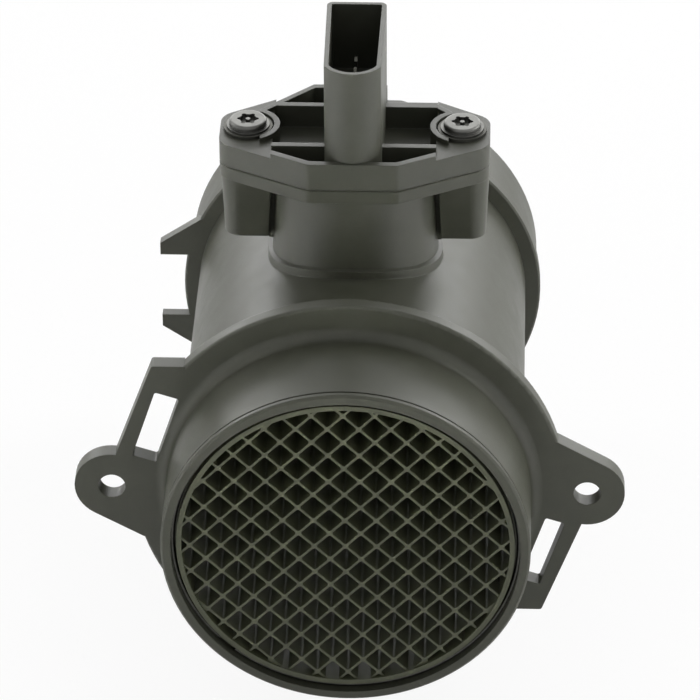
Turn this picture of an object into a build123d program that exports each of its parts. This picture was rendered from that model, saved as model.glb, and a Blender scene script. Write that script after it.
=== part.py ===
"""Hot-film mass airflow sensor: a moulded air tube with a plug-in measuring probe.

Air flows along +Y, +Z points up through the connector tower, and +X is to the
right seen from the inlet. Places along the tube are given from the inlet face,
and the finished pieces are set down with the origin at the centre of the two
ear holes, on the flange's front face. All sizes are in millimetres.
"""
from build123d import *
from math import asin, atan2, cos, hypot, radians, sin, sqrt, tan
import os

# ------------------------------------------------------------------ clearances
seat_clearance = 0.15      # round inserts in the inlet seat
plug_clearance = 0.20      # probe plug in the neck bore
lid_clearance = 0.10       # chamber lid in its recess
seal_relief = 0.02         # each side of the rubber ring's section
pin_clearance = 0.05       # terminal blades in their slots
thread_clearance = 0.05    # screw shank in its threaded insert
shank_clearance = 0.5      # screw shank in the cover and the washer
knurl_clearance = 0.03     # insert in its moulded pocket
ring_play = 0.05           # snap ring wire in its groove

# ------------------------------------------------------------------ air tube
body_r = 45.0              # outside of the tube
bore_r = 41.5              # air passage
inlet_r = 47.0             # inlet spigot, outside
lip_length = 1.7           # lip in front of the spigot's witness groove
witness_groove = 0.35      # depth of that groove
witness_width = 0.5
lip_chamfer = 0.6
flange_y = 27.5            # front face of the mounting flange
flange_thickness = 4.5
flange_r = 55.8
root_fillet = 3.0          # spigot to flange
flange_edge_fillet = 0.8
collar_y = 126.0           # front face of the hose stop, a collar on the outlet
collar_length = 4.0
collar_r = 49.1
collar_chamfer = 0.5
outlet_r = 48.0            # outlet spigot, outside
outlet_length = 18.0       # from the collar's back face to the open end
outlet_bore_r = 44.5
outlet_flare = 3.0         # length of the cone between the two bores
end_chamfer = 0.8

# inlet seat for the straightener, the screen and their retaining ring
seat_r = 44.4
ring_wire_r = 0.75         # round wire of the snap ring
ring_groove_y = 3.4        # centre of the snap ring along the tube
ring_bite = 0.55           # how far the snap ring's groove goes into the wall
ring_gap_deg = 7.0         # opening of the C
ring_gap_at_deg = 225.8    # where it sits, from +X towards +Z

# flow straightener: a square lattice turned 45 degrees in a round frame
grid_front_y = 2.2
grid_length = 9.6
grid_pitch = 5.6
grid_wall = 0.60
grid_corner_r = 0.7
grid_turn = 45.65
grid_frame_width = 2.55    # its frame, from the outer edge to the lattice
frame_step_width = 1.25    # the lower, outer part of that frame
frame_nose_y = 1.5
screen_thickness = 0.5
screen_pitch = 2.4
screen_wire = 0.5
screen_ring_length = 2.2
screen_ring_wall = 2.25

# mounting ears, seen from the inlet; the right ear is the left one turned 180 degrees
ear_x = 61.4
ear_lobe_r = 9.7
ear_hole_r = 3.5
ear_low_z = -15.7          # where the lower edge runs into the flange
ear_top_z = 37.0
ear_frame_top_x = 50.2
ear_frame_tilt = 20.0      # outer edge of the window frame, from upright
ear_inner_fillet = 2.0
ear_corner_fillet = 0.8
ear_overlap = 14.0         # how far the ear plate runs into the flange disc
window_width = (6.5, 5.3)  # left ear, right ear
window_x = (49.6, 50.2)
window_z = 18.4
window_height = 20.4
window_tilt = 18.0
window_corner_r = 0.6

# locating lugs on the outlet collar
lug_tip_x = 55.6
lug_inner_z = 9.8
lug_outer_z = 13.4
lug_root_z = 21.3
lug_thickness = 3.0

# ------------------------------------------------------------------ neck and head
neck_y = 81.0              # centre of neck, probe and cover along the tube
neck_top_r = 20.7
neck_draft = 0.045         # growth of the radius for each millimetre down
neck_collar_r = 23.0
neck_collar_height = 2.2
neck_bore_r = 17.0
head_z = 70.0              # joint between the housing and the cover
head_thickness = 3.6
head_flat_x = 11.5         # half width of the front and rear flats
head_flat_y = 21.0         # the rear flat's distance from the neck's centre
head_front_flat_y = 20.7   # and the front flat's
head_end_x = 35.0
head_end_y = 6.3           # end of the rear slants
head_front_end_y = 8.2     # and of the front ones
head_end_fillet = 5.5
head_flat_fillet = 2.5
seam_chamfer = 0.35        # round both edges of the joint under the cover
boss_inner_x = 21.7
boss_depth = 12.0
boss_bottom_z = 46.9
boss_fillet = 5.0
boss_taper = 2.4
web_height = 1.6           # the rib between boss and neck hangs this much lower
web_grip = 0.9             # how far that rib runs into the boss
counterbore_step = 2.5     # counterbore to neck bore
collar_floor_z = 66.4      # floor of the counterbore under the probe's collar

# ------------------------------------------------------------------ cover
rim_height = 7.8
rim_wall = 1.8
floor_thickness = 1.5
pad_height = 6.5
deck_height = 3.3          # low rear deck on the right
rib_y = 10.4               # cross ribs, each side of the neck's centre
rib_wall = 1.8
right_rear_rib_wall = 2.6
rib_end_x = 21.2
brace_wall = 1.5           # slanted rear walls, at 45 degrees to the tube
brace_end_x = 25.0
screw_x = 27.75
screw_wall_r = 6.8         # curved wall round each screw pad
screw_wall = 1.5
tower_nose_half = 7.3      # half width of the connector tower at its nose
tower_half = 7.75          # and at its tail
tower_nose_arch = 4.6      # how far the arched nose stands out
tower_nose_reach = 20.2    # from the neck's centre to the front of the tower
tower_tail_reach = 18.2    # and to its back
tower_corner_r = 1.7
tower_top_z = 104.0
socket_wall = 1.2
socket_depth = 19.0
socket_floor = 2.5

# ------------------------------------------------------------------ screws
washer_r = 6.35
washer_bore_r = 2.4
washer_thickness = 0.9
flange_head_r = 5.6
flange_head_height = 0.5
head_r = 4.85
head_height = 1.9          # whole head
head_dome = 0.7
recess_r = 2.2
lobe_r = 0.62
lobe_count = 6
guard_pin_r = 0.6          # pin in the middle of the driver recess
recess_depth = 1.3
shank_r = 2.0
shank_length = 20.5
insert_r = 3.5
insert_length = 11.0
insert_below = 0.4
insert_groove = 0.5
insert_groove_width = 1.0
pilot_r = 2.6
pilot_length = 17.0

# ------------------------------------------------------------------ probe
gasket_thickness = 1.0
gasket_inset = 0.3         # flat seal from the neck bore
gasket_margin = 0.2        # and from the collar's edge
plug_bottom_z = 41.0
o_ring_z = 61.0
o_ring_section_r = 1.15
blade_half_x = 7.5
blade_inset = 2.2          # edge of the blade from the plug's side
blade_edge_r = 3.0
blade_bottom_z = -12.0
duct_half_x = 4.5
duct_z = (-7.0, 9.0)
chamber_half_y = 10.8
chamber_z = (13.0, 57.0)
chamber_back_x = -5.2
lid_thickness = 1.5
lid_ledge = 1.0
lead_slot_x = (-3.4, 1.2)
lead_slot_half_y = 10.8

# ------------------------------------------------------------------ circuit
heat_sink_thickness = 1.6
heat_sink_margin = 0.6
board_thickness = 0.8
board_half_y = 10.0
board_top_z = 55.5
board_step_z = 35.0        # full width above this height, a narrow leg below it
board_leg_z = 20.0
board_leg_width = 9.8
chip_thickness = 1.2
chip_size = 5.0
module_width = 8.6
module_z = (19.0, 33.0)
module_thickness = 2.4
spacer_thickness = 0.8
element_thickness = 0.6
element_half_y = 5.0
element_z = (-4.0, 16.5)
holder_half_x = 1.4
holder_half_y = 6.5
holder_lip = 0.8
holder_lip_height = 1.5
thermistor_r = 1.3
thermistor_reach = 10.5    # upstream of the neck's centre
thermistor_drop = 5.0
thermistor_lead_r = 0.3
thermistor_lead_x = 0.6
bond_wire_r = 0.2
bond_count = 4
bond_spacing = 1.2
bond_reach = 1.3           # how far the wires stand off the board
bond_end = 0.9             # how far below the element's top they land

# ------------------------------------------------------------------ terminal blades
pin_count = 4
pin_spacing = 6.0
pin_width = 2.4
pin_thickness = 0.8
pin_below_mouth = 11.0
pin_jog_z = 61.0
pin_foot_z = 50.5

# ------------------------------------------------------------------ derived places
flange_back_y = flange_y + flange_thickness
collar_back_y = collar_y + collar_length
overall_length = collar_back_y + outlet_length
flare_y = collar_back_y + outlet_flare
grid_back_y = grid_front_y + grid_length
screen_ring_y = grid_back_y + screen_thickness
seat_depth = screen_ring_y + screen_ring_length
ring_r = seat_r + ring_bite - ring_wire_r
insert_outer_r = seat_r - seat_clearance
grid_open_r = insert_outer_r - grid_frame_width
frame_nose_r = insert_outer_r - frame_step_width
screen_ring_bore_r = insert_outer_r - screen_ring_wall
head_bottom_z = head_z - head_thickness
rim_z = head_z + rim_height
pad_z = head_z + pad_height
deck_z = head_z + deck_height
socket_floor_z = tower_top_z - socket_depth
socket_under_z = socket_floor_z - socket_floor
washer_top_z = pad_z + washer_thickness
insert_top_z = head_z - insert_below
collar_seat_z = collar_floor_z + gasket_thickness
plug_r = neck_bore_r - plug_clearance
blade_half_y = plug_r - blade_inset
counterbore_r = neck_bore_r + counterbore_step
probe_collar_r = counterbore_r - plug_clearance
gasket_inner_r = neck_bore_r + gasket_inset
gasket_outer_r = probe_collar_r - gasket_margin
lid_x = blade_half_x - lid_thickness
heat_sink_x = chamber_back_x + heat_sink_thickness
board_x = heat_sink_x + board_thickness
sides = (-1, 1)


# ------------------------------------------------------------------ small helpers
def block(x, y, z):
    """A box from three (low, high) pairs."""
    size = [high - low for low, high in (x, y, z)]
    middle = [(high + low) / 2 for low, high in (x, y, z)]
    return Pos(*middle) * Box(*size)


def post(radius, z, x=0.0, y=0.0):
    """An upright cylinder between two heights."""
    low, high = z
    return Pos(x, y, (low + high) / 2) * Cylinder(radius, high - low)


def rod(radius, y):
    """A cylinder along the tube between two stations."""
    low, high = y
    return Pos(0, (low + high) / 2, 0) * Rot(90, 0, 0) * Cylinder(radius, high - low)


def slab(sketch, z):
    """A plan-view sketch raised between two heights."""
    low, high = z
    return extrude(Pos(0, 0, low) * sketch, amount=high - low, dir=(0, 0, 1))


def facing(sketch, y):
    """A sketch drawn in X and Z, as seen from the inlet, made solid between two stations."""
    low, high = y
    return extrude(Pos(0, low, 0) * Rot(90, 0, 0) * sketch, amount=high - low, dir=(0, 1, 0))


# ------------------------------------------------------------------ housing
def tube():
    """The air tube with its two spigots, flange disc, outlet collar and inlet seat."""
    groove_half = ring_wire_r + ring_play
    points = [
        (inlet_r - lip_chamfer, 0),
        (inlet_r, lip_chamfer),
        (inlet_r, lip_length),
        (inlet_r - witness_groove, lip_length),
        (inlet_r - witness_groove, lip_length + witness_width),
        (inlet_r, lip_length + witness_width),
        (inlet_r, flange_y),
        (flange_r, flange_y),
        (flange_r, flange_back_y),
        (body_r, flange_back_y),
        (body_r, collar_y),
        (collar_r - collar_chamfer, collar_y),
        (collar_r, collar_y + collar_chamfer),
        (collar_r, collar_back_y - collar_chamfer),
        (collar_r - collar_chamfer, collar_back_y),
        (outlet_r, collar_back_y),
        (outlet_r, overall_length - end_chamfer),
        (outlet_r - end_chamfer, overall_length),
        (outlet_bore_r, overall_length),
        (outlet_bore_r, flare_y),
        (bore_r, collar_back_y),
        (bore_r, seat_depth),
        (seat_r, seat_depth),
        (seat_r, ring_groove_y + groove_half),
        (seat_r + ring_bite, ring_groove_y + groove_half),
        (seat_r + ring_bite, ring_groove_y - groove_half),
        (seat_r, ring_groove_y - groove_half),
        (seat_r, 0),
    ]
    section = make_face(Polyline(*points, close=True))
    root = section.vertices().sort_by_distance((inlet_r, flange_y, 0))[0]
    section = fillet(root, root_fillet)
    rim = section.vertices().filter_by(lambda v: abs(v.X - flange_r) < 1e-6)
    section = fillet(rim, flange_edge_fillet)
    return revolve(section, Axis.Y)


def ear_outline():
    """The left ear in X and Z: a lobe and the plate that carries it on the flange."""
    flange_low_x = sqrt(flange_r ** 2 - ear_low_z ** 2)
    run = hypot(ear_x - flange_low_x, ear_low_z)
    bearing = atan2(-ear_low_z, flange_low_x - ear_x) + asin(ear_lobe_r / run)
    reach = sqrt(run ** 2 - ear_lobe_r ** 2)
    tangent = (-flange_low_x + reach * cos(bearing), ear_low_z + reach * sin(bearing))
    foot_x = ear_frame_top_x + ear_top_z * tan(radians(ear_frame_tilt))
    inside_x = flange_r - ear_overlap
    plate = Polygon(
        (-inside_x, ear_low_z),
        (-flange_low_x, ear_low_z),
        tangent,
        (-ear_x, 0),
        (-foot_x, 0),
        (-ear_frame_top_x, ear_top_z),
        (-inside_x, ear_top_z),
        align=None,
    )
    plate += Pos(-ear_x, 0) * Circle(ear_lobe_r)
    waist = plate.vertices().sort_by_distance((-ear_x, ear_lobe_r, 0))[0]
    corner = plate.vertices().sort_by_distance((-ear_frame_top_x, ear_top_z, 0))[0]
    plate = fillet(waist, ear_inner_fillet)
    return fillet(corner, ear_corner_fillet)


def ears():
    """Both ears, the right one being the left one turned half a turn about the tube."""
    left = facing(ear_outline(), (flange_y, flange_back_y))
    return left + Rot(0, 180, 0) * left


def ear_cuts():
    """The bolt holes and the slanted windows through both ears."""
    cuts = []
    for width, x in zip(window_width, window_x):
        window = RectangleRounded(width, window_height, window_corner_r)
        openings = Pos(-x, window_z) * Rot(0, 0, -window_tilt) * window
        openings += Pos(-ear_x, 0) * Circle(ear_hole_r)
        cuts.append(facing(openings, (flange_y - 1, flange_back_y + 1)))
    return cuts[0] + Rot(0, 180, 0) * cuts[1]


def lugs():
    """Two wedge-shaped lugs on the left of the outlet collar."""
    root_x = body_r - 1
    upper = Polygon(
        (-root_x, lug_root_z),
        (-lug_tip_x, lug_outer_z),
        (-lug_tip_x, lug_inner_z),
        (-root_x, lug_inner_z),
        align=None,
    )
    pair = upper + mirror(upper, Plane.XZ)
    return facing(pair, (collar_y, collar_y + lug_thickness))


def head_outline(inset=0.0):
    """The long six-sided outline shared by the housing's head and the cover."""
    corners = [
        (head_flat_x, head_flat_y),
        (head_end_x, head_end_y),
        (head_end_x, -head_front_end_y),
        (head_flat_x, -head_front_flat_y),
        (-head_flat_x, -head_front_flat_y),
        (-head_end_x, -head_front_end_y),
        (-head_end_x, head_end_y),
        (-head_flat_x, head_flat_y),
    ]
    shape = Polygon(*corners, align=None)
    ends = shape.vertices().filter_by(lambda v: abs(v.X) > head_end_x - 1)
    shape = fillet(ends, head_end_fillet)
    flats = shape.vertices().filter_by(lambda v: abs(v.X) < head_flat_x + 1e-3)
    shape = fillet(flats, head_flat_fillet)
    if inset:
        shape = offset(shape, amount=-inset, kind=Kind.INTERSECTION)
    return Pos(0, neck_y) * shape


def head_plate():
    """The flat plate on top of the neck, which the cover is screwed to."""
    plate = slab(head_outline(), (head_bottom_z, head_z))
    return chamfer(plate.edges().group_by(Axis.Z)[-1], seam_chamfer)


def neck():
    """The drafted round neck and the low saddle collar round its root."""
    root_z = body_r / 2
    height = head_bottom_z - root_z
    root_r = neck_top_r + height * neck_draft
    stem = Pos(0, neck_y, root_z + height / 2) * Cone(root_r, neck_top_r, height)
    saddle = post(neck_collar_r, (root_z, body_r + 2 * neck_collar_height), 0, neck_y)
    saddle &= rod(body_r + neck_collar_height, (neck_y - 2 * body_r, neck_y + 2 * body_r))
    return stem + saddle


def screw_boss(side):
    """A tapered boss under one end of the head, with its rib to the neck."""
    width = head_end_x - boss_inner_x
    plan = Rectangle(width, boss_depth)
    outer = plan.vertices().filter_by(lambda v: v.X * side > 0)
    plan = fillet(outer, boss_fillet)
    plan = Pos(side * (boss_inner_x + width / 2), neck_y, head_bottom_z) * plan
    boss = extrude(plan, amount=head_bottom_z - boss_bottom_z, dir=(0, 0, -1), taper=boss_taper)
    inner, outer = sorted((side * neck_top_r * 0.9, side * (boss_inner_x + web_grip)))
    web_y = (neck_y - boss_depth / 4, neck_y + boss_depth / 4)
    return boss + block((inner, outer), web_y, (boss_bottom_z - web_height, head_bottom_z))


def housing():
    """The one-piece moulded housing."""
    shell = tube() + ears()
    shell += lugs()
    shell += neck()
    for side in sides:
        shell += screw_boss(side)
    shell += head_plate()
    shell -= ear_cuts()
    shell -= rod(bore_r, (seat_depth, overall_length))
    shell -= post(neck_bore_r, (body_r / 2, head_z), 0, neck_y)
    shell -= post(counterbore_r, (collar_floor_z, head_z), 0, neck_y)
    for side in sides:
        pocket = (insert_top_z - insert_length, head_z)
        shell -= post(insert_r + knurl_clearance, pocket, side * screw_x, neck_y)
        pilot = (insert_top_z - pilot_length, head_z)
        shell -= post(pilot_r, pilot, side * screw_x, neck_y)
    return shell


# ------------------------------------------------------------------ inlet pieces
def turned_grid(count):
    """Cell centres of the square lattice, turned to the grid's angle."""
    turn = radians(grid_turn)
    for i in range(-count, count + 1):
        for j in range(-count, count + 1):
            u, v = (i + 0.5) * grid_pitch, (j + 0.5) * grid_pitch
            yield u * cos(turn) - v * sin(turn), u * sin(turn) + v * cos(turn)


def flow_straightener():
    """A deep square lattice moulded in one with its stepped frame."""
    opening = grid_pitch - grid_wall
    cell = RectangleRounded(opening, opening, grid_corner_r)
    clear = Circle(grid_open_r)
    whole, cut = [], []
    for x, z in turned_grid(int(grid_open_r / grid_pitch) + 2):
        placed = Pos(x, z) * Rot(0, 0, grid_turn) * cell
        if hypot(x, z) + opening / sqrt(2) < grid_open_r:
            whole.append(placed)
        elif hypot(x, z) - opening / sqrt(2) < grid_open_r:
            cut.append(placed & clear)
    cut = [piece for piece in cut if piece and piece.area > grid_wall]
    lattice = Circle(frame_nose_r) - whole - cut
    body = facing(lattice, (grid_front_y, grid_back_y))
    nose = Circle(frame_nose_r) - Circle(grid_open_r)
    body += facing(nose, (frame_nose_y, grid_front_y + 1))
    shoulder = Circle(insert_outer_r) - Circle(frame_nose_r - 0.2)
    ring_back_y = ring_groove_y + ring_wire_r
    return body + facing(shoulder, (ring_back_y, grid_back_y))


def snap_ring():
    """A round-wire C-shaped ring, sprung into its groove in the inlet."""
    wire = Pos(ring_r, ring_groove_y) * Circle(ring_wire_r)
    ring = revolve(wire, Axis.Y, revolution_arc=360 - ring_gap_deg)
    return Rot(0, ring_gap_deg / 2 - ring_gap_at_deg, 0) * ring


def wire_screen():
    """The wire screen as a thin sheet of square meshes with a plain border."""
    mesh = screen_pitch - screen_wire
    reach = screen_ring_bore_r - mesh
    count = int(reach / screen_pitch) + 1
    edge = Wire(Circle(insert_outer_r - 0.4).edges())
    holes = []
    for i in range(-count, count + 1):
        for j in range(-count, count + 1):
            x, z = i * screen_pitch, j * screen_pitch
            if hypot(x, z) < reach:
                holes.append(Wire((Pos(x, z) * Rectangle(mesh, mesh)).edges()))
    return facing(Face(edge, holes), (grid_back_y, screen_ring_y))


def screen_ring():
    """The plain ring that holds the screen against the straightener."""
    return facing(Circle(insert_outer_r) - Circle(screen_ring_bore_r), (screen_ring_y, seat_depth))


# ------------------------------------------------------------------ cover
def tower_outline(inset=0.0):
    """The connector tower in plan: an arched nose, widening a little to a square tail."""
    nose_y = neck_y - tower_nose_reach
    tail_y = neck_y + tower_tail_reach
    shoulder = (tower_nose_half, nose_y + tower_nose_arch)
    other = (-tower_nose_half, nose_y + tower_nose_arch)
    edge = Polyline(shoulder, (tower_half, tail_y), (-tower_half, tail_y), other)
    edge += ThreePointArc(other, (0, nose_y), shoulder)
    outline = make_face(edge)
    outline = fillet(outline.vertices(), tower_corner_r)
    return offset(outline, amount=-inset) if inset else outline


def strip(x, y):
    """A plan-view rectangle from two (low, high) pairs, y measured from the neck's centre."""
    place = Pos(sum(x) / 2, neck_y + sum(y) / 2)
    return place * Rectangle(x[1] - x[0], y[1] - y[0])


def screw_curve(side):
    """The wall that curves round the inboard half of one screw pad, in plan."""
    ring = Circle(screw_wall_r + screw_wall) - Circle(screw_wall_r)
    inboard = screw_x - screw_wall_r - screw_wall, screw_x - screw_wall_r / 2
    half = strip(sorted(side * x for x in inboard), (-head_flat_y, head_flat_y))
    return Pos(side * screw_x, neck_y) * ring & half


def slanted_wall(side, inner_x):
    """A rear wall at 45 degrees, on the line through the head's rear corner, in plan."""
    reach = head_flat_x + head_flat_y
    depth = brace_wall * sqrt(2)
    outer = [(side * x, neck_y + reach - x) for x in (inner_x, brace_end_x)]
    inner = [(x, y - depth) for x, y in reversed(outer)]
    wall = make_face(Polyline(*outer, *inner, close=True))
    return wall - Pos(side * screw_x, neck_y) * Circle(screw_wall_r)


def cover_walls():
    """The raised rim, cross ribs, slanted walls and screw walls, in plan."""
    rim = head_outline() - head_outline(rim_wall)
    rim &= strip((-rib_end_x, rib_end_x), (-head_flat_y, head_flat_y))
    walls = rim - strip((tower_half, head_end_x), (0, head_flat_y + 1))
    walls -= strip((-head_end_x, -head_flat_x), (0, head_flat_y + 1))
    walls += slanted_wall(-1, head_flat_x)
    walls += slanted_wall(1, rib_end_x)
    for side in sides:
        rib = (side * rib_y - rib_wall / 2, side * rib_y + rib_wall / 2)
        walls += strip((-rib_end_x, rib_end_x), rib)
        walls += screw_curve(side) & head_outline()
    rear_rib = rib_y - rib_wall / 2
    return walls + strip((0, rib_end_x), (rear_rib, rear_rib + right_rear_rib_wall))


def cover():
    """The moulded cover: floor, screw pads, ribs and the connector tower in one."""
    outline = head_outline()
    body = slab(outline, (head_z, head_z + floor_thickness))
    body += slab(cover_walls(), (head_z, rim_z))
    for side in sides:
        reach = sorted((side * rib_end_x, side * head_end_x))
        pad = outline & strip(reach, (-head_flat_y, head_flat_y))
        body += slab(pad, (head_z, pad_z))
    deck = outline & strip((0, rib_end_x), (rib_y, head_flat_y))
    body += slab(deck, (head_z, deck_z))
    body += slab(tower_outline(), (head_z, tower_top_z))
    envelope = slab(outline, (head_z, tower_top_z))
    body &= chamfer(envelope.edges().group_by(Axis.Z)[0], seam_chamfer)
    body -= slab(tower_outline(socket_wall), (socket_floor_z, tower_top_z))
    body -= slab(tower_outline(socket_wall), (head_z, socket_under_z))
    for side in sides:
        body -= post(shank_r + shank_clearance, (head_z, pad_z), side * screw_x, neck_y)
    half_x = pin_thickness / 2 + pin_clearance
    half_y = pin_width / 2 + pin_clearance
    for y in pin_places():
        body -= block((-half_x, half_x), (y - half_y, y + half_y), (socket_under_z, socket_floor_z))
    return body


# ------------------------------------------------------------------ fasteners
def cover_screw(side):
    """A flanged screw with a domed head, a driver recess and a plain shank."""
    x = side * screw_x
    collar_z = washer_top_z + flange_head_height
    top_z = washer_top_z + head_height
    crown = post(head_r, (collar_z, top_z), x, neck_y)
    crown = fillet(crown.edges().sort_by(Axis.Z)[-1], head_dome)
    screw = crown + post(flange_head_r, (washer_top_z, collar_z), x, neck_y)
    recess = Circle(recess_r)
    for k in range(lobe_count):
        turn = radians(360 / lobe_count * k)
        recess += Pos(recess_r * cos(turn), recess_r * sin(turn)) * Circle(lobe_r)
    recess = Pos(x, neck_y) * (recess - Circle(guard_pin_r))
    screw -= slab(recess, (top_z - recess_depth, top_z))
    shank = (washer_top_z - shank_length, washer_top_z)
    return screw + post(shank_r - thread_clearance, shank, x, neck_y)


def screw_washer(side):
    """The captive washer under one cover screw."""
    thickness = (pad_z, washer_top_z)
    ring = post(washer_r, thickness, side * screw_x, neck_y)
    return ring - post(washer_bore_r, thickness, side * screw_x, neck_y)


def threaded_insert(side):
    """The brass sleeve moulded into one boss, with two retaining grooves."""
    x = side * screw_x
    span = (insert_top_z - insert_length, insert_top_z)
    sleeve = post(insert_r, span, x, neck_y) - post(shank_r, span, x, neck_y)
    for share in (1 / 3, 2 / 3):
        middle = insert_top_z - insert_length * share
        band = (middle - insert_groove_width / 2, middle + insert_groove_width / 2)
        waist = post(insert_r - insert_groove, band, x, neck_y)
        sleeve -= post(insert_r + 1, band, x, neck_y) - waist
    return sleeve


# ------------------------------------------------------------------ probe
def span_y(half):
    """A (low, high) pair along the tube, centred on the neck."""
    return neck_y - half, neck_y + half


def probe_body():
    """The plug-in probe: clamped collar, round plug, blade, chamber and air duct."""
    body = post(probe_collar_r, (collar_seat_z, head_z), 0, neck_y)
    body += post(plug_r, (plug_bottom_z, collar_seat_z), 0, neck_y)
    blade = Pos(0, neck_y) * RectangleRounded(2 * blade_half_x, 2 * blade_half_y, blade_edge_r)
    body += slab(blade, (blade_bottom_z, plug_bottom_z))
    half_groove = o_ring_section_r + ring_play
    groove = (o_ring_z - half_groove, o_ring_z + half_groove)
    groove_floor = post(neck_bore_r - 2 * o_ring_section_r, groove, 0, neck_y)
    body -= post(neck_bore_r, groove, 0, neck_y) - groove_floor
    body -= block((chamber_back_x, lid_x), span_y(chamber_half_y), chamber_z)
    lid_z = (chamber_z[0] - lid_ledge, chamber_z[1] + lid_ledge)
    body -= block((lid_x, neck_bore_r), span_y(chamber_half_y + lid_ledge), lid_z)
    body -= block(lead_slot_x, span_y(lead_slot_half_y), (chamber_z[1], head_z))
    body -= block((-duct_half_x, duct_half_x), span_y(blade_half_y), duct_z)
    slot = (-holder_half_x, holder_half_x)
    return body - block(slot, span_y(holder_half_y), (duct_z[1], chamber_z[0]))


def probe_lid():
    """The flat lid over the electronics chamber."""
    gap = lid_ledge - lid_clearance
    z = (chamber_z[0] - gap, chamber_z[1] + gap)
    return block((lid_x, blade_half_x), span_y(chamber_half_y + gap), z)


def probe_o_ring():
    """The rubber ring in the plug's groove, against the neck bore."""
    ring = Torus(neck_bore_r - o_ring_section_r, o_ring_section_r - seal_relief)
    return Pos(0, neck_y, o_ring_z) * ring


def collar_gasket():
    """The flat rubber ring under the probe's collar."""
    thickness = (collar_floor_z, collar_seat_z)
    ring = post(gasket_outer_r, thickness, 0, neck_y)
    return ring - post(gasket_inner_r, thickness, 0, neck_y)


# ------------------------------------------------------------------ circuit
def heat_sink():
    """The metal plate on the chamber's back wall, which carries the circuit."""
    z = (chamber_z[0] + heat_sink_margin, chamber_z[1] - heat_sink_margin)
    y = span_y(chamber_half_y - heat_sink_margin)
    return block((chamber_back_x, heat_sink_x), y, z)


def hybrid_board():
    """The ceramic circuit plate, with a leg that reaches down to the sensor element."""
    low, high = span_y(board_half_y)
    plate = block((heat_sink_x, board_x), (low, high), (board_step_z, board_top_z))
    leg = block((heat_sink_x, board_x), (low, low + board_leg_width), (board_leg_z, board_step_z))
    return plate + leg


def circuit_chips():
    """Three components on the ceramic plate, as separate solids."""
    chips = []
    for n in range(3):
        y = neck_y + (n - 1) * (chip_size + 1)
        z = board_step_z + 3 + (n % 2) * 4
        x = (board_x, board_x + chip_thickness)
        chips.append(block(x, (y - chip_size / 2, y + chip_size / 2), (z, z + chip_size)))
    return Compound(chips)


def module_y():
    """The power module's place along the tube, beside the board's leg."""
    high = neck_y + board_half_y
    return high - module_width, high


def intermediate_module():
    """The spacer plate between the heat sink and the power module."""
    return block((heat_sink_x, heat_sink_x + spacer_thickness), module_y(), module_z)


def power_module():
    """The encapsulated output stage."""
    x = heat_sink_x + spacer_thickness
    return block((x, x + module_thickness), module_y(), module_z)


def sensor_holder():
    """The stub that hangs the sensor element in the duct, seated on the chamber floor."""
    half_x = holder_half_x - pin_clearance
    half_y = holder_half_y - pin_clearance
    stub = block((-half_x, half_x), span_y(half_y), (duct_z[1], chamber_z[0]))
    lip = (-half_x - holder_lip, half_x + holder_lip)
    top_z = chamber_z[0] + holder_lip_height
    stub += block(lip, span_y(half_y + holder_lip), (chamber_z[0], top_z))
    half_slot = element_thickness / 2 + pin_clearance
    slot_y = span_y(element_half_y + pin_clearance)
    return stub - block((-half_slot, half_slot), slot_y, (duct_z[1], top_z))


def sensor_element():
    """The thin ceramic plate that carries the heated film."""
    half_x = element_thickness / 2
    return block((-half_x, half_x), span_y(element_half_y), element_z)


def air_temperature_sensor():
    """A bead on two leads, hung from the duct's roof upstream of the element."""
    y = neck_y - thermistor_reach
    bead_z = duct_z[1] - thermistor_drop
    bead = Pos(0, y, bead_z) * Sphere(thermistor_r)
    for side in sides:
        bead += post(thermistor_lead_r, (bead_z, duct_z[1]), side * thermistor_lead_x, y)
    return bead


def bond_wires():
    """Thin wires from the board's leg to the top of the element, as separate solids."""
    low_z = element_z[1] - bond_end
    high_z = board_leg_z + bond_end
    bend_x = board_x + bond_reach
    first = neck_y - element_half_y + bond_spacing / 2
    wires = []
    for n in range(bond_count):
        y = first + n * bond_spacing
        start = (board_x, y, high_z)
        end = (-element_thickness / 2, y, low_z)
        path = Polyline(start, (bend_x, y, high_z), (bend_x, y, low_z), end)
        path = fillet(path.vertices()[1:3], bond_wire_r * 2)
        wires.append(sweep(Plane(origin=path @ 0, z_dir=path % 0) * Circle(bond_wire_r), path))
    return Compound(wires)


# ------------------------------------------------------------------ terminals
def pin_places():
    """Where the terminal blades stand along the tube."""
    first = neck_y - pin_spacing * (pin_count - 1) / 2
    return [first + pin_spacing * n for n in range(pin_count)]


def terminal_pin(y):
    """A flat blade with a pointed tip, jogged over to a foot on the circuit plate."""
    half = pin_thickness / 2
    width = (y - pin_width / 2, y + pin_width / 2)
    tip_z = tower_top_z - pin_below_mouth
    blade = block((-half, half), width, (pin_jog_z, tip_z))
    tip = blade.edges().filter_by(Axis.X).group_by(Axis.Z)[-1]
    blade = chamfer(tip, pin_width / 3)
    blade += block((board_x, half), width, (pin_jog_z, pin_jog_z + pin_thickness))
    foot = (board_x, board_x + pin_thickness)
    return blade + block(foot, width, (pin_foot_z, pin_jog_z + pin_thickness))


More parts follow.
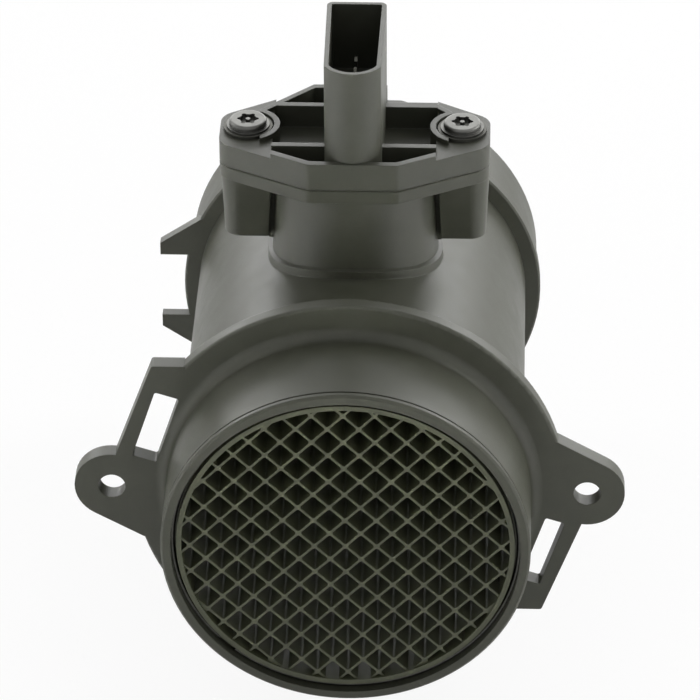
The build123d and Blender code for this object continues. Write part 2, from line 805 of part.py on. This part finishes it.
# ------------------------------------------------------------------ output
def pieces():
    """Every separate piece, by its name."""
    made = {
        "housing": housing(),
        "flow_straightener": flow_straightener(),
        "snap_ring": snap_ring(),
        "wire_screen": wire_screen(),
        "screen_ring": screen_ring(),
        "cover": cover(),
        "probe_body": probe_body(),
        "probe_lid": probe_lid(),
        "probe_o_ring": probe_o_ring(),
        "collar_gasket": collar_gasket(),
        "heat_sink": heat_sink(),
        "hybrid_board": hybrid_board(),
        "circuit_chips": circuit_chips(),
        "intermediate_module": intermediate_module(),
        "power_module": power_module(),
        "sensor_holder": sensor_holder(),
        "sensor_element": sensor_element(),
        "air_temperature_sensor": air_temperature_sensor(),
        "bond_wires": bond_wires(),
    }
    for name, side in (("left", -1), ("right", 1)):
        made["cover_screw_" + name] = cover_screw(side)
        made["screw_washer_" + name] = screw_washer(side)
        made["threaded_insert_" + name] = threaded_insert(side)
    for number, y in enumerate(pin_places(), start=1):
        made[f"terminal_pin_{number}"] = terminal_pin(y)
    return made


# The datum is the centre of the ear-hole pattern, on the flange's front face.
to_datum = Pos(0, -flange_y, 0)

os.makedirs("parts", exist_ok=True)
for node, shape in pieces().items():
    shape = to_datum * shape
    export_step(shape, f"parts/{node}.step")
    print(node, len(shape.solids()), round(shape.volume, 1))
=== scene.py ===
# %% [markdown]
# A mass airflow sensor, finished for its portrait.
# The real object is a moulded tube that sits in the intake hose of an engine. Air passes
# through a square honeycomb and a fine wire screen, and a plug-in probe in the neck weighs it.
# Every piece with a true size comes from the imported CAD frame. This lesson gives the pieces
# their finishes, weaves the one screen that is too fine for CAD, and sets up a plain studio.

# %% Load the frame
import math

import bmesh
import bpy
from mathutils import Matrix, Vector


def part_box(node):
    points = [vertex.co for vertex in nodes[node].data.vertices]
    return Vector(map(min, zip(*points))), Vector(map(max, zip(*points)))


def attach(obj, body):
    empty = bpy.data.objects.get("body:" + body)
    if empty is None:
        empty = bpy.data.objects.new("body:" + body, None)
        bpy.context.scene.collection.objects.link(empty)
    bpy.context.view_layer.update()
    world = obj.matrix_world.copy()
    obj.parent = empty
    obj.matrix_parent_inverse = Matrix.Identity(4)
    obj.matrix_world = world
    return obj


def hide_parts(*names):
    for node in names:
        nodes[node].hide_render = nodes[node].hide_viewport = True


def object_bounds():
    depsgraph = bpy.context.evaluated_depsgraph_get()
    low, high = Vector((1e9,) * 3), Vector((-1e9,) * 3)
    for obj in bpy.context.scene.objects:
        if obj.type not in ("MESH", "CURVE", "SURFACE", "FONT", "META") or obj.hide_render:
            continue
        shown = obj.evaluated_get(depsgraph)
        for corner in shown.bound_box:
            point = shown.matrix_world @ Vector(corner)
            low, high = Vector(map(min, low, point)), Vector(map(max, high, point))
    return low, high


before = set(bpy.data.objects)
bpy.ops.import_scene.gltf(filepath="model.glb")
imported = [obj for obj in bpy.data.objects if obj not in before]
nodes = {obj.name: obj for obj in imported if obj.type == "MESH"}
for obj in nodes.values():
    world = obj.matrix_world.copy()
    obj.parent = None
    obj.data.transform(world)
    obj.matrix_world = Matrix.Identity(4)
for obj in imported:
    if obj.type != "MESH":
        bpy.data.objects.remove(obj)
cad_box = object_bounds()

MM = 0.001
print(len(nodes), "pieces in the frame")

# %% [markdown]
# The studio comes first, because every finish is judged under its light.
# The camera looks down on the inlet from a little to the right, through a long lens, so the
# far end of the tube is hardly smaller than the near one. It could be aimed with a Track To
# constraint, but building its three axes from two angles and a small roll keeps every number
# a plain one that can be read and changed.

# %% Camera
CAMERA_AZIMUTH = math.radians(2.318)
CAMERA_ELEVATION = math.radians(32.814)
CAMERA_ROLL = math.radians(-0.374)
CAMERA_DISTANCE = 1164.86 * MM
CAMERA_LENS = 236.571
SENSOR_WIDTH = 36
AIM_RIGHT = 1.2357 * MM
AIM_UP = 50.99 * MM
INLET_MOUTH = Vector((0, cad_box[0].y, 0))


def camera_axes():
    """The camera's right, up and backward directions."""
    level = math.cos(CAMERA_ELEVATION)
    back = Vector((
        math.sin(CAMERA_AZIMUTH) * level,
        -math.cos(CAMERA_AZIMUTH) * level,
        math.sin(CAMERA_ELEVATION),
    ))
    roll = Matrix.Rotation(CAMERA_ROLL, 3, back)
    right = roll @ Vector((math.cos(CAMERA_AZIMUTH), math.sin(CAMERA_AZIMUTH), 0))
    return right, back.cross(right), back


def make_camera():
    """Places the camera and makes it the scene's own."""
    right, up, back = camera_axes()
    data = bpy.data.cameras.new("portrait_camera")
    data.lens = CAMERA_LENS
    data.sensor_width = SENSOR_WIDTH
    camera = bpy.data.objects.new("portrait_camera", data)
    bpy.context.scene.collection.objects.link(camera)
    place = INLET_MOUTH + back * CAMERA_DISTANCE + right * AIM_RIGHT + up * AIM_UP
    turn = Matrix((right, up, back)).transposed().to_4x4()
    camera.matrix_world = Matrix.Translation(place) @ turn
    bpy.context.scene.camera = camera
    return camera


camera = make_camera()
print("camera at", [round(value, 3) for value in camera.location])

# %% [markdown]
# The floor and backdrop are one pale sweep: a floor that curves up behind the object, so no
# horizon shows. A lit grey wall would need a lot of lamp to look white, and that light would
# wash out a dark object. Instead the sweep shows plain white to the camera and to mirrors and
# glass, and only its diffuse side takes part in lighting. Some of the diffuse shader is mixed
# back in for the camera, so that the object's shadow stays on the floor.

# %% Floor and backdrop
FLOOR_HALF = 3.0
SWEEP_RADIUS = 1.2
WALL_HEIGHT = 2.6
SWEEP_STEPS = 24
SHADOW_SHARE = 0.09
WHITE = (1, 1, 1, 1)
FLOOR_PAINT = (0.86, 0.86, 0.86, 1)


def math_node(tree, operation, first, second, clamp=False):
    """A Math node over two numbers or sockets."""
    node = tree.nodes.new("ShaderNodeMath")
    node.operation = operation
    node.use_clamp = clamp
    for socket, value in zip(node.inputs, (first, second)):
        if isinstance(value, (int, float)):
            socket.default_value = value
        else:
            tree.links.new(value, socket)
    return node.outputs["Value"]


def seen_directly(tree):
    """One for rays from the camera, mirrors and glass, zero for the rest."""
    path = tree.nodes.new("ShaderNodeLightPath")
    seen = math_node(tree, "MAXIMUM", path.outputs["Is Camera Ray"], path.outputs["Is Glossy Ray"])
    return math_node(tree, "MAXIMUM", seen, path.outputs["Is Transmission Ray"])


def floor_material():
    """White to the camera and to reflections, with a faint shadow."""
    material = bpy.data.materials.new("pale_sweep")
    material.use_nodes = True
    tree = material.node_tree
    tree.nodes.clear()
    seen = seen_directly(tree)
    glow = tree.nodes.new("ShaderNodeEmission")
    glow.inputs["Color"].default_value = WHITE
    glow.inputs["Strength"].default_value = 1.0
    paint = tree.nodes.new("ShaderNodeBsdfDiffuse")
    paint.inputs["Color"].default_value = FLOOR_PAINT
    lit = tree.nodes.new("ShaderNodeMixShader")
    lit.inputs["Fac"].default_value = SHADOW_SHARE
    choose = tree.nodes.new("ShaderNodeMixShader")
    output = tree.nodes.new("ShaderNodeOutputMaterial")
    link = tree.links.new
    link(glow.outputs["Emission"], lit.inputs[1])
    link(paint.outputs["BSDF"], lit.inputs[2])
    link(seen, choose.inputs["Fac"])
    link(paint.outputs["BSDF"], choose.inputs[1])
    link(lit.outputs["Shader"], choose.inputs[2])
    link(choose.outputs["Shader"], output.inputs["Surface"])
    return material


def finish_mesh(shape, name, material):
    """Turns a bmesh into a smooth linked object at the origin."""
    for face in shape.faces:
        face.smooth = True
    mesh = bpy.data.meshes.new(name)
    shape.to_mesh(mesh)
    shape.free()
    piece = bpy.data.objects.new(name, mesh)
    bpy.context.scene.collection.objects.link(piece)
    mesh.materials.append(material)
    return piece


def pale_sweep(floor_z):
    """A floor that curves up into a wall far behind the object."""
    shape = bmesh.new()
    front = shape.verts.new((-FLOOR_HALF, -FLOOR_HALF, floor_z))
    bend = shape.verts.new((-FLOOR_HALF, FLOOR_HALF - SWEEP_RADIUS, floor_z))
    shape.edges.new((front, bend))
    centre = Vector((0, FLOOR_HALF - SWEEP_RADIUS, floor_z + SWEEP_RADIUS))
    bmesh.ops.spin(
        shape, geom=[bend], cent=centre, axis=(1, 0, 0), angle=math.pi / 2, steps=SWEEP_STEPS
    )
    shape.verts.ensure_lookup_table()
    top = shape.verts.new((-FLOOR_HALF, FLOOR_HALF, floor_z + WALL_HEIGHT))
    shape.edges.new((max(shape.verts[:-1], key=lambda v: v.co.z), top))
    pulled = bmesh.ops.extrude_edge_only(shape, edges=shape.edges[:])
    moved = [item for item in pulled["geom"] if isinstance(item, bmesh.types.BMVert)]
    bmesh.ops.translate(shape, verts=moved, vec=(2 * FLOOR_HALF, 0, 0))
    bmesh.ops.recalc_face_normals(shape, faces=shape.faces)
    return finish_mesh(shape, "pale_sweep", floor_material())


floor_z = cad_box[0].z
sweep = pale_sweep(floor_z)
print("floor at", round(floor_z / MM, 1), "mm")

# %% [markdown]
# The plastic is nearly black, so what shapes it for the eye is the light it mirrors softly.
# A low, wide softbox behind the object skims over the tube's shoulders and every face that
# looks up, a weaker one above it fills in, and one on each side lights the flanks, more on
# the right. Three narrow beams fall straight down onto the floor around the object: what the
# floor throws back lifts the ears and the bosses from below. Lamps in front would do that too,
# but they would flatten the shaded front faces, and a sun's hard shadow would cut the ribs.

# %% Lamps
def softbox(name, place, aim, width, height, power, beam=math.pi):
    """A rectangular area lamp at a place, facing a point, with the width of its beam."""
    data = bpy.data.lights.new(name, "AREA")
    data.spread = beam
    data.shape = "RECTANGLE"
    data.size = width
    data.size_y = height
    data.energy = power
    lamp = bpy.data.objects.new(name, data)
    bpy.context.scene.collection.objects.link(lamp)
    lamp.location = place
    lamp.rotation_euler = (Vector(place) - Vector(aim)).to_track_quat("Z", "Y").to_euler()
    return lamp


OBJECT_MIDDLE = (0, 0.045, 0.02)
SOFTBOXES = (  # name, place, width, height, power in watts
    ("rear_softbox", (0.0, 2.2, 0.55), 3.2, 1.0, 42),
    ("top_rear_softbox", (0.1, 1.5, 1.25), 1.5, 1.0, 7),
    ("left_softbox", (-1.5, 0.5, 0.75), 0.7, 1.2, 9),
    ("right_softbox", (1.5, 0.5, 0.75), 0.7, 1.2, 17),
)
FLOOR_WASHES = (  # name, x, y, power in watts
    ("left_floor_wash", -0.75, -0.3, 38),
    ("right_floor_wash", 0.75, -0.3, 30),
    ("front_floor_wash", 0.0, -0.8, 3),
)
WASH_BEAM = math.radians(50)
WASH_HEIGHT = 1.0
WASH_SIZE = 0.5
for name, place, width, height, power in SOFTBOXES:
    softbox(name, place, OBJECT_MIDDLE, width, height, power)
for name, x, y, power in FLOOR_WASHES:
    softbox(name, (x, y, WASH_HEIGHT), (x, y, floor_z), WASH_SIZE, WASH_SIZE, power, WASH_BEAM)
lamps = [item.name for item in bpy.context.scene.objects if item.type == "LIGHT"]
print(len(lamps), "lamps:", ", ".join(lamps))

# %% [markdown]
# The world is the room around the lamps. A picture of a studio is the usual choice, but a plain
# grey room gives the same soft fill, and its strength is one number that sets how deep the
# shaded side goes. Mirrors, glass and the camera see it as white, as they see the sweep.

# %% World
WORLD_STRENGTH = 0.38


def make_world():
    """A plain grey room, which shows as white where the camera sees past the sweep."""
    world = bpy.data.worlds.new("plain_room")
    world.use_nodes = True
    tree = world.node_tree
    tree.nodes.clear()
    room = tree.nodes.new("ShaderNodeBackground")
    room.inputs["Color"].default_value = WHITE
    room.inputs["Strength"].default_value = WORLD_STRENGTH
    white = tree.nodes.new("ShaderNodeBackground")
    white.inputs["Color"].default_value = WHITE
    white.inputs["Strength"].default_value = 1.0
    choose = tree.nodes.new("ShaderNodeMixShader")
    output = tree.nodes.new("ShaderNodeOutputWorld")
    tree.links.new(seen_directly(tree), choose.inputs["Fac"])
    tree.links.new(room.outputs["Background"], choose.inputs[1])
    tree.links.new(white.outputs["Background"], choose.inputs[2])
    tree.links.new(choose.outputs["Shader"], output.inputs["Surface"])
    bpy.context.scene.world = world


make_world()
bpy.context.scene.view_settings.view_transform = "Standard"
print("a room of strength", WORLD_STRENGTH)

# %% [markdown]
# Every finish shares two effects, and each is a shader node group built once.
# The first is the grain of a sandblasted mould: a fine bumpy skin, with a slow cloudiness
# where the plastic flowed. Noise on Object coordinates gives both, at sizes in millimetres,
# and needs no unwrapping. The second is tooling: fine parallel lines, for turned and rolled
# metal. A picture of grain would be quicker to draw but would repeat and could not be scaled.
# Both groups end in the same way, so a few helpers come first.

# %% Helpers for the groups
NOISE_LOW, NOISE_HIGH = 0.3, 0.7
GROUP_OUTPUTS = {
    "Color": "NodeSocketColor", "Roughness": "NodeSocketFloat", "Height": "NodeSocketFloat",
}


def new_group(name, inputs):
    """An empty shader node group with an input for each named number or colour."""
    group = bpy.data.node_groups.new(name, "ShaderNodeTree")
    for label, value in inputs.items():
        kind = "NodeSocketColor" if isinstance(value, tuple) else "NodeSocketFloat"
        socket = group.interface.new_socket(label, in_out="INPUT", socket_type=kind)
        socket.default_value = value
    for label, kind in GROUP_OUTPUTS.items():
        group.interface.new_socket(label, in_out="OUTPUT", socket_type=kind)
    return group, group.nodes.new("NodeGroupInput"), group.nodes.new("NodeGroupOutput")


def noise(tree, coordinates, scale, detail, roughness=0.5):
    """A noise texture; scale may be a number or a socket."""
    node = tree.nodes.new("ShaderNodeTexNoise")
    node.inputs["Detail"].default_value = detail
    node.inputs["Roughness"].default_value = roughness
    tree.links.new(coordinates, node.inputs["Vector"])
    if isinstance(scale, (int, float)):
        node.inputs["Scale"].default_value = scale
    else:
        tree.links.new(scale, node.inputs["Scale"])
    return node.outputs["Fac"]


def stretched(tree, value, share):
    """The middle of a noise's range, mapped onto 0 to a share."""
    node = tree.nodes.new("ShaderNodeMapRange")
    node.inputs["From Min"].default_value = NOISE_LOW
    node.inputs["From Max"].default_value = NOISE_HIGH
    node.inputs["To Min"].default_value = 0.0
    node.inputs["To Max"].default_value = share
    tree.links.new(value, node.inputs["Value"])
    return node.outputs["Result"]


def mixed(tree, first, second, share):
    """Two noises added to one shade from 0 to 1, of which the first has a share."""
    return math_node(tree, "ADD", stretched(tree, first, share),
                     stretched(tree, second, 1 - share), clamp=True)


def put_out(group, start, end, shade, height):
    """Sends out the colour and the roughness at a shade, and the height for a bump."""
    mix = group.nodes.new("ShaderNodeMix")
    mix.data_type = "RGBA"
    centred = math_node(group, "SUBTRACT", shade, 0.5)
    swing = math_node(group, "MULTIPLY", centred, start.outputs["Roughness spread"])
    rough = math_node(group, "ADD", start.outputs["Roughness"], swing, clamp=True)
    link = group.links.new
    link(shade, mix.inputs["Factor"])
    link(start.outputs["Dark"], mix.inputs["A"])
    link(start.outputs["Light"], mix.inputs["B"])
    link(mix.outputs["Result"], end.inputs["Color"])
    link(rough, end.inputs["Roughness"])
    link(height, end.inputs["Height"])


print("groups put out", ", ".join(GROUP_OUTPUTS))

# %% Group: moulded grain
GRAIN_INPUTS = {
    "Grain per metre": 2400.0,
    "Cloud per metre": 170.0,
    "Dark": (0.02, 0.02, 0.02, 1),
    "Light": (0.04, 0.04, 0.04, 1),
    "Roughness": 0.5,
    "Roughness spread": 0.1,
}
CLOUD_SHARE = 0.65


def moulded_grain_group():
    """Fine sandblasted grain, and slow clouds where the melt flowed."""
    group, start, end = new_group("moulded_grain", GRAIN_INPUTS)
    place = group.nodes.new("ShaderNodeTexCoord").outputs["Object"]
    grain = noise(group, place, start.outputs["Grain per metre"], detail=3.0, roughness=0.6)
    cloud = noise(group, place, start.outputs["Cloud per metre"], detail=4.0, roughness=0.55)
    put_out(group, start, end, mixed(group, cloud, grain, CLOUD_SHARE), grain)
    return group


grain_group = moulded_grain_group()
print("group", grain_group.name, "with", len(grain_group.nodes), "nodes")

# %% Group: tooled metal
TOOLED_INPUTS = {
    "Lines per metre": 3000.0,
    "Dark": (0.3, 0.3, 0.3, 1),
    "Light": (0.5, 0.5, 0.5, 1),
    "Roughness": 0.3,
    "Roughness spread": 0.15,
}
LINE_STRETCH = (0.06, 0.06, 1.0)
TONE_PER_METRE = 320.0
LINE_SHARE = 0.6


def tooled_metal_group():
    """Fine lines round the vertical, with a slow change of tone."""
    group, start, end = new_group("tooled_metal", TOOLED_INPUTS)
    place = group.nodes.new("ShaderNodeTexCoord").outputs["Object"]
    stretch = group.nodes.new("ShaderNodeMapping")
    stretch.inputs["Scale"].default_value = LINE_STRETCH
    group.links.new(place, stretch.inputs["Vector"])
    drawn_out = stretch.outputs["Vector"]
    lines = noise(group, drawn_out, start.outputs["Lines per metre"], detail=2.0)
    tone = noise(group, place, TONE_PER_METRE, detail=3.0)
    put_out(group, start, end, mixed(group, lines, tone, LINE_SHARE), lines)
    return group


tooled_group = tooled_metal_group()
print("group", tooled_group.name, "with", len(tooled_group.nodes), "nodes")

# %% [markdown]
# A material is one Principled shader fed by one of the groups. The mould rounds every edge of
# the real pieces by a few tenths of a millimetre, and that thin round catches a bright line.
# Rounding the CAD meshes themselves is not allowed and would cost many faces, so a Bevel
# node rounds the shading instead, and the grain is bumped on top of it.

# %% The material maker
BEVEL_SAMPLES = 4


def principled(name, group, values, bump, edge_round=0.0, **sockets):
    """A Principled material fed by a shared group, with a bump and rounded edges."""
    material = bpy.data.materials.new(name)
    material.use_nodes = True
    tree = material.node_tree
    shader = tree.nodes["Principled BSDF"]
    effect = tree.nodes.new("ShaderNodeGroup")
    effect.node_tree = group
    for label, value in values.items():
        effect.inputs[label].default_value = value
    tree.links.new(effect.outputs["Color"], shader.inputs["Base Color"])
    tree.links.new(effect.outputs["Roughness"], shader.inputs["Roughness"])
    skin = tree.nodes.new("ShaderNodeBump")
    skin.inputs["Distance"].default_value = bump
    skin.inputs["Strength"].default_value = 1.0
    tree.links.new(effect.outputs["Height"], skin.inputs["Height"])
    if edge_round:
        rounding = tree.nodes.new("ShaderNodeBevel")
        rounding.samples = BEVEL_SAMPLES
        rounding.inputs["Radius"].default_value = edge_round
        tree.links.new(rounding.outputs["Normal"], skin.inputs["Normal"])
    tree.links.new(skin.outputs["Normal"], shader.inputs["Normal"])
    for label, value in sockets.items():
        shader.inputs[label.replace("_", " ")].default_value = value
    return material


def grey(level, blue=1.0):
    """A grey in linear light, made olive by taking some of its blue away."""
    return (level, level, level * blue, 1)


print("edges rounded with", BEVEL_SAMPLES, "samples")

# %% [markdown]
# The housing and the cover are glass-filled nylon, coloured with carbon black. In thin light it
# isn't a pure black but a dark olive grey, and the skin of the mould keeps it from shining.
# The lattice is a smoother plastic, and the probe inside is darker still. One black material
# for all of them would be simpler, but then the pieces would run together where they meet.
# Two colours a little apart, mixed by the grain, keep each of them from looking flat.

# %% Plastic and rubber finishes
housing_plastic = principled(
    "housing_plastic", grain_group,
    {"Dark": (0.038, 0.040, 0.027, 1), "Light": (0.052, 0.054, 0.039, 1),
     "Roughness": 0.44, "Roughness spread": 0.12},
    edge_round=0.35 * MM, bump=0.012 * MM, Specular_IOR_Level=0.40,
)
cover_plastic = principled(
    "cover_plastic", grain_group,
    {"Dark": (0.040, 0.042, 0.030, 1), "Light": (0.054, 0.056, 0.042, 1),
     "Grain per metre": 2800.0, "Roughness": 0.45, "Roughness spread": 0.12},
    edge_round=0.3 * MM, bump=0.010 * MM, Specular_IOR_Level=0.42,
)
straightener_plastic = principled(
    "straightener_plastic", grain_group,
    {"Dark": (0.044, 0.049, 0.024, 1), "Light": (0.074, 0.080, 0.042, 1),
     "Grain per metre": 3200.0, "Roughness": 0.42, "Roughness spread": 0.15},
    edge_round=0.12 * MM, bump=0.006 * MM,
)
probe_plastic = principled(
    "probe_plastic", grain_group,
    {"Dark": grey(0.016), "Light": grey(0.026), "Roughness": 0.45, "Roughness spread": 0.1},
    edge_round=0.25 * MM, bump=0.008 * MM,
)
seal_rubber = principled(
    "seal_rubber", grain_group,
    {"Dark": grey(0.008), "Light": grey(0.014), "Roughness": 0.62, "Roughness spread": 0.08},
    bump=0.01 * MM,
)
print("plastic and rubber ready")

# %% [markdown]
# The metals are the phosphated screws with their washers, the spring wire of the snap ring,
# the brass inserts, the tin on the connector's blades and bond wires and the rolled aluminium
# of the heat sink. All of them share the tooled lines and differ in colour and gloss. The tin is
# painted far darker than tin: painted shade for the deep shade the blades and wires sit in.
# A dark metal could be black paint, but fully metallic with a dark tint keeps its highlights dark
# as well.
# The ceramic board and the epoxies are not metal, so they go back to the grain group.

# %% Metal, ceramic and epoxy finishes
spring_steel = principled(
    "spring_steel", tooled_group,
    {"Dark": grey(0.05, 0.9), "Light": grey(0.11, 0.9), "Roughness": 0.38,
     "Roughness spread": 0.2},
    bump=0.004 * MM, Metallic=1.0,
)
blackened_steel = principled(
    "blackened_steel", tooled_group,
    {"Dark": grey(0.07, 0.94), "Light": grey(0.16, 0.94), "Roughness": 0.42,
     "Roughness spread": 0.2},
    edge_round=0.12 * MM, bump=0.005 * MM, Metallic=1.0,
)
plated_washer = principled(
    "plated_washer", tooled_group,
    {"Dark": grey(0.045, 0.9), "Light": grey(0.10, 0.88), "Roughness": 0.5,
     "Roughness spread": 0.2},
    edge_round=0.12 * MM, bump=0.004 * MM, Metallic=1.0,
)
brass = principled(
    "brass", tooled_group,
    {"Dark": (0.42, 0.25, 0.07, 1), "Light": (0.66, 0.44, 0.15, 1), "Roughness": 0.34},
    bump=0.006 * MM, Metallic=1.0,
)
# Painted shade: the tin of the pins and bond wires is far darker than tin, to stand for the shade
# around them.
shade_darkened_tin = principled(
    "shade_darkened_tin", tooled_group,
    {"Dark": grey(0.07, 0.86), "Light": grey(0.13, 0.86), "Roughness": 0.5},
    edge_round=0.1 * MM, bump=0.003 * MM, Metallic=1.0,
)
rolled_aluminium = principled(
    "rolled_aluminium", tooled_group,
    {"Dark": grey(0.48), "Light": grey(0.62), "Roughness": 0.33},
    edge_round=0.1 * MM, bump=0.005 * MM, Metallic=1.0,
)
screen_wire = principled(
    "screen_wire", tooled_group,
    {"Dark": grey(0.03, 0.75), "Light": grey(0.07, 0.75), "Roughness": 0.45},
    bump=0.001 * MM, Metallic=1.0,
)
alumina = principled(
    "alumina", grain_group,
    {"Dark": grey(0.62, 0.95), "Light": grey(0.74, 0.96), "Roughness": 0.5,
     "Grain per metre": 6000.0},
    edge_round=0.08 * MM, bump=0.003 * MM,
)
chip_epoxy = principled(
    "chip_epoxy", grain_group,
    {"Dark": grey(0.012), "Light": grey(0.02), "Roughness": 0.35, "Grain per metre": 6000.0},
    edge_round=0.15 * MM, bump=0.003 * MM,
)
bead_epoxy = principled(
    "bead_epoxy", grain_group,
    {"Dark": (0.05, 0.03, 0.012, 1), "Light": (0.09, 0.05, 0.02, 1), "Roughness": 0.28},
    bump=0.004 * MM,
)
print("metal, ceramic and epoxy ready")

# %% [markdown]
# Each piece that comes from the CAD now gets its finish. Slots could be filled by hand in the
# viewport, but a table of names shows at a glance which piece is made of what, and it is easy
# to change. Meshes and places stay as they are, so the numbers of the frame hold.

# %% Dress the CAD pieces
FINISHES = {
    "housing": housing_plastic,
    "cover": cover_plastic,
    "flow_straightener": straightener_plastic,
    "snap_ring": spring_steel,
    "screen_ring": straightener_plastic,
    "probe_body": probe_plastic,
    "probe_lid": probe_plastic,
    "probe_o_ring": seal_rubber,
    "collar_gasket": seal_rubber,
    "heat_sink": rolled_aluminium,
    "hybrid_board": alumina,
    "circuit_chips": chip_epoxy,
    "intermediate_module": rolled_aluminium,
    "power_module": chip_epoxy,
    "sensor_holder": probe_plastic,
    "sensor_element": alumina,
    "air_temperature_sensor": bead_epoxy,
    "bond_wires": shade_darkened_tin,
}
PIN_COUNT = 4
for side in ("left", "right"):
    FINISHES["cover_screw_" + side] = blackened_steel
    FINISHES["screw_washer_" + side] = plated_washer
    FINISHES["threaded_insert_" + side] = brass
for number in range(1, PIN_COUNT + 1):
    FINISHES[f"terminal_pin_{number}"] = shade_darkened_tin


def dress(name, material):
    """Gives every material slot of a CAD piece the same finish."""
    for slot in nodes[name].material_slots:
        slot.material = material


for name, material in FINISHES.items():
    dress(name, material)
print(len(FINISHES), "pieces dressed")

# %% [markdown]
# The wire screen is woven: each wire passes over one crossing wire and under the next.
# In CAD it is a flat sheet of square holes, which is right for air and collision but looks
# punched. A woven screen could be two Array modifiers over one wavy wire, but the wires must
# stop at a round frame, so each is made to its own length: a four-sided rod, cut across at
# every quarter wave, then pushed to and fro by a cosine.

# %% Weave the wire screen
SCREEN_PITCH = 1.5 * MM
SCREEN_WIRE_RADIUS = 0.16 * MM
SCREEN_INSET = 0.3 * MM
WIRE_SIDES = 4
STEPS_PER_WEAVE = 2
FEWEST_STEPS = 4
screen_low, screen_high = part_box("wire_screen")
screen_radius = (screen_high.x - screen_low.x) / 2 - SCREEN_INSET
screen_y = (screen_low.y + screen_high.y) / 2


def woven_wire(offset, number, turn):
    """The mesh of one wire, at an offset from the middle, turned into its direction."""
    shape = bmesh.new()
    half = math.sqrt(screen_radius ** 2 - offset ** 2)
    steps = max(FEWEST_STEPS, round(2 * half / SCREEN_PITCH) * STEPS_PER_WEAVE)
    bmesh.ops.create_cone(
        shape, segments=WIRE_SIDES, radius1=SCREEN_WIRE_RADIUS, radius2=SCREEN_WIRE_RADIUS,
        depth=2 * half, cap_ends=True,
    )
    long_edges = [edge for edge in shape.edges if edge.calc_length() > half]
    bmesh.ops.subdivide_edges(shape, edges=long_edges, cuts=steps - 1)
    for vert in shape.verts:
        wave = math.cos(math.pi * (vert.co.z / SCREEN_PITCH + number))
        vert.co.y += wave * SCREEN_WIRE_RADIUS
    place = Matrix.Rotation(turn, 4, "Y") @ Matrix.Translation((offset, screen_y, 0))
    bmesh.ops.transform(shape, matrix=place, verts=shape.verts)
    mesh = bpy.data.meshes.new("one_wire")
    shape.to_mesh(mesh)
    shape.free()
    return mesh


def weave_screen():
    """Both sets of wires, the second turned a quarter and half a wave out of step."""
    shape = bmesh.new()
    count = int(screen_radius / SCREEN_PITCH)
    for number in range(-count, count + 1):
        for turn in (0, 1):
            wire = woven_wire(number * SCREEN_PITCH, number + turn, turn * math.pi / 2)
            shape.from_mesh(wire)
            bpy.data.meshes.remove(wire)
    return finish_mesh(shape, "woven_screen", screen_wire)


screen = weave_screen()
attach(screen, "root")
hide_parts("wire_screen")
print("screen of", len(screen.data.polygons), "faces")

# %% [markdown]
# Last, the script prints that it is done.

# %% Finish
print("scene finished")
